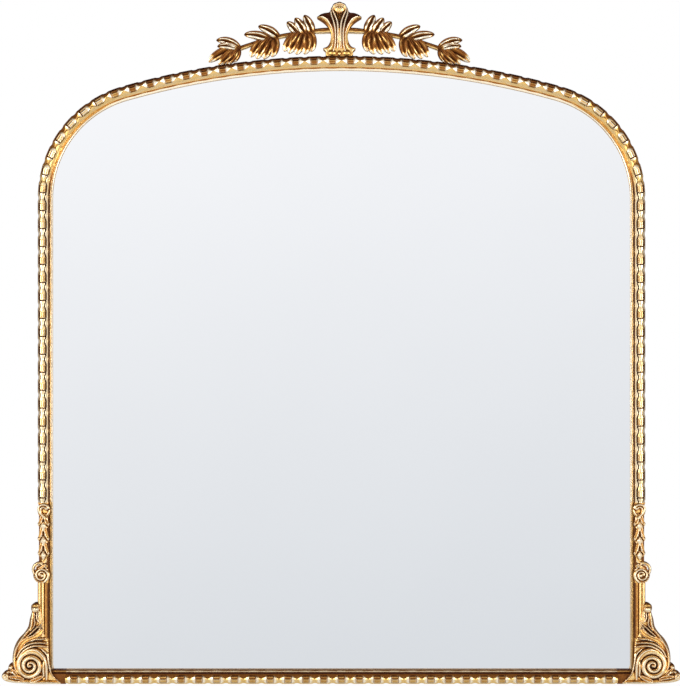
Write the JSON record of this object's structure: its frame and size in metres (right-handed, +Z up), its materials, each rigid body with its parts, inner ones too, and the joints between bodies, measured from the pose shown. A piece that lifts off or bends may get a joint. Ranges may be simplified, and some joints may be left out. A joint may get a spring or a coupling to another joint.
{
  "type": "wall mirror",
  "caption": "Arched wall mirror in a narrow gilt bead moulding, with a palmette and leaf crest, scroll corners and two hinged hanging rings on the back.",
  "frame": {"origin": "on the wall plane, midway between the pivots of the two hanging rings", "axes": "+Z up, +Y into the wall, so the glass faces -Y; X runs along the frame's width"},
  "size_m": [0.9204, 0.0356, 0.9257],
  "materials": {
    "gilt_moulding": "antique gold leaf over gesso, dark in the hollows",
    "gilt_casting": "antique gold leaf over cast composition, dark in the hollows",
    "silvered_glass": "silvered float glass",
    "foam_tape": "closed-cell foam",
    "hard_rubber": "hard black rubber",
    "fibreboard": "pressed fibreboard",
    "zinced_steel": "zinc plated",
    "ring_wire": "zinc plated wire"
  },
  "bodies": {
    "frame": {"crown_rail": "gilt_moulding", "shoulder_rail_left": "gilt_moulding", "shoulder_rail_right": "gilt_moulding", "stile_left": "gilt_moulding", "stile_right": "gilt_moulding", "bottom_rail": "gilt_moulding", "crest_palmette": "gilt_casting", "crest_stem_left": "gilt_casting", "crest_stem_right": "gilt_casting", "leaf_spray_inner_left": "gilt_casting", "leaf_spray_middle_left": "gilt_casting", "leaf_spray_outer_left": "gilt_casting", "leaf_spray_inner_right": "gilt_casting", "leaf_spray_middle_right": "gilt_casting", "leaf_spray_outer_right": "gilt_casting", "corner_scroll_left": "gilt_casting", "corner_scroll_right": "gilt_casting", "stile_volute_left": "gilt_casting", "stile_volute_right": "gilt_casting", "husk_drop_left": "gilt_casting", "husk_drop_right": "gilt_casting", "mirror_glass": "silvered_glass", "glazing_tape": "foam_tape", "setting_blocks": "hard_rubber", "back_board": "fibreboard", "board_clips": "zinced_steel", "clip_screws": "zinced_steel", "corner_plates": "zinced_steel", "splice_plates": "zinced_steel", "plate_screws": "zinced_steel", "crest_plate": "zinced_steel", "crest_screws": "zinced_steel", "hanger_strap_left": "zinced_steel", "hanger_strap_right": "zinced_steel", "hanger_screws": "zinced_steel", "wall_bumpers": "hard_rubber"},
    "ring_left": {"hanger_ring_left": "ring_wire"},
    "ring_right": {"hanger_ring_right": "ring_wire"}
  },
  "joints": [
    {"name": "ring_left_turn", "type": "hinge", "parent": "frame", "child": "ring_left", "pos_m": [-0.404, -0.0027, 0], "axis": [1, 0, 0], "range_deg": [0, 180]},
    {"name": "ring_right_turn", "type": "hinge", "parent": "frame", "child": "ring_right", "pos_m": [0.404, -0.0027, 0], "axis": [1, 0, 0], "range_deg": [0, 180]}
  ]
}
